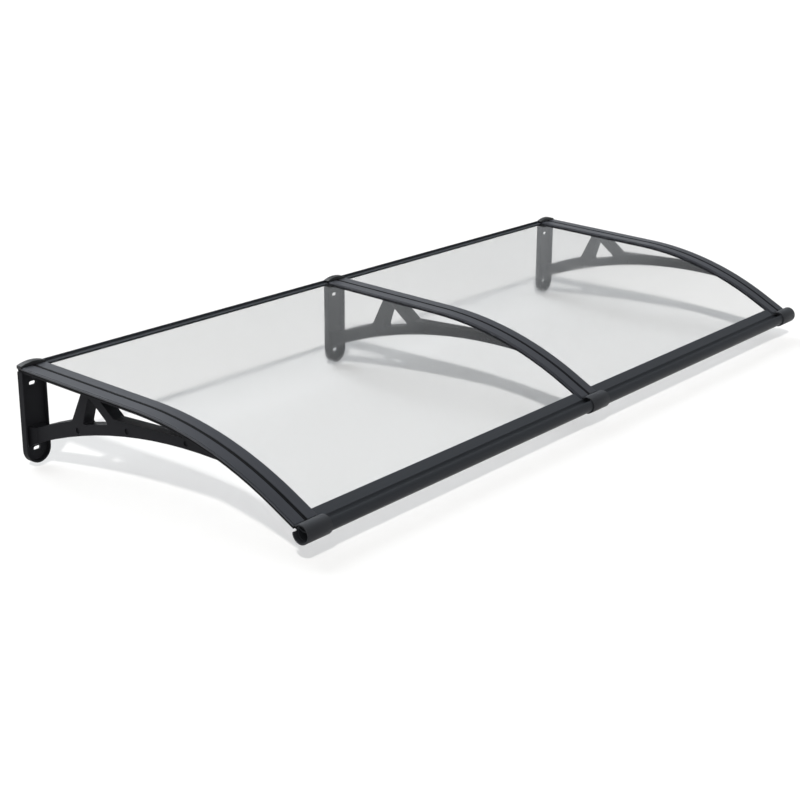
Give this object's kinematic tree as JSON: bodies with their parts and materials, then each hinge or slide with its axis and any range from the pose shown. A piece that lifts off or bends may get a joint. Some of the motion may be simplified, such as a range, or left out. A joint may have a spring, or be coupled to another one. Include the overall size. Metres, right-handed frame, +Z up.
{
  "type": "door canopy awning",
  "caption": "Clear door canopy: arched wall brackets carry curved see-through sheets, held by cover strips and ended by a round front rail with a gutter",
  "frame": {"origin": "on the wall face of the centre bracket's plate, midway between its two screw slots", "axes": "X along the wall, +Y into the wall, +Z up; the canopy reaches out towards -Y"},
  "size_m": [2.07, 0.8429, 0.2343],
  "materials": {
    "cast_black": "cast, matt black powder coat",
    "extruded_black": "extruded, satin black coat",
    "clear_sheet": "clear solid polycarbonate",
    "rubber": "matt black sealing rubber",
    "cap_plastic": "moulded, matt black",
    "screw_steel": "plain steel"
  },
  "bodies": {
    "root": {"bracket_left": "cast_black", "bracket_centre": "cast_black", "bracket_right": "cast_black", "sheet_left": "clear_sheet", "sheet_right": "clear_sheet", "edge_filler_left": "rubber", "edge_filler_right": "rubber", "sheet_gasket_left": "rubber", "sheet_gasket_centre": "rubber", "sheet_gasket_right": "rubber", "cover_strip_left": "extruded_black", "cover_strip_centre": "extruded_black", "cover_strip_right": "extruded_black", "groove_insert_left": "rubber", "groove_insert_centre": "rubber", "groove_insert_right": "rubber", "strip_seal_a_left": "rubber", "strip_seal_a_centre": "rubber", "strip_seal_a_right": "rubber", "strip_seal_b_left": "rubber", "strip_seal_b_centre": "rubber", "strip_seal_b_right": "rubber", "strip_screw_left_1": "screw_steel", "strip_screw_left_2": "screw_steel", "strip_screw_left_3": "screw_steel", "strip_screw_left_4": "screw_steel", "strip_screw_centre_1": "screw_steel", "strip_screw_centre_2": "screw_steel", "strip_screw_centre_3": "screw_steel", "strip_screw_centre_4": "screw_steel", "strip_screw_right_1": "screw_steel", "strip_screw_right_2": "screw_steel", "strip_screw_right_3": "screw_steel", "strip_screw_right_4": "screw_steel", "clip_screw_left_a": "screw_steel", "clip_screw_left_b": "screw_steel", "clip_screw_centre_a": "screw_steel", "clip_screw_centre_b": "screw_steel", "clip_screw_right_a": "screw_steel", "clip_screw_right_b": "screw_steel", "front_rail_left": "extruded_black", "front_rail_right": "extruded_black", "front_clip_left": "cast_black", "front_clip_centre": "cast_black", "front_clip_right": "cast_black", "rear_rail_left": "extruded_black", "rear_rail_right": "extruded_black", "wall_seal_left": "rubber", "wall_seal_right": "rubber", "rear_cap_left": "cap_plastic", "rear_cap_centre": "cap_plastic", "rear_cap_right": "cap_plastic"}
  },
  "joints": []
}
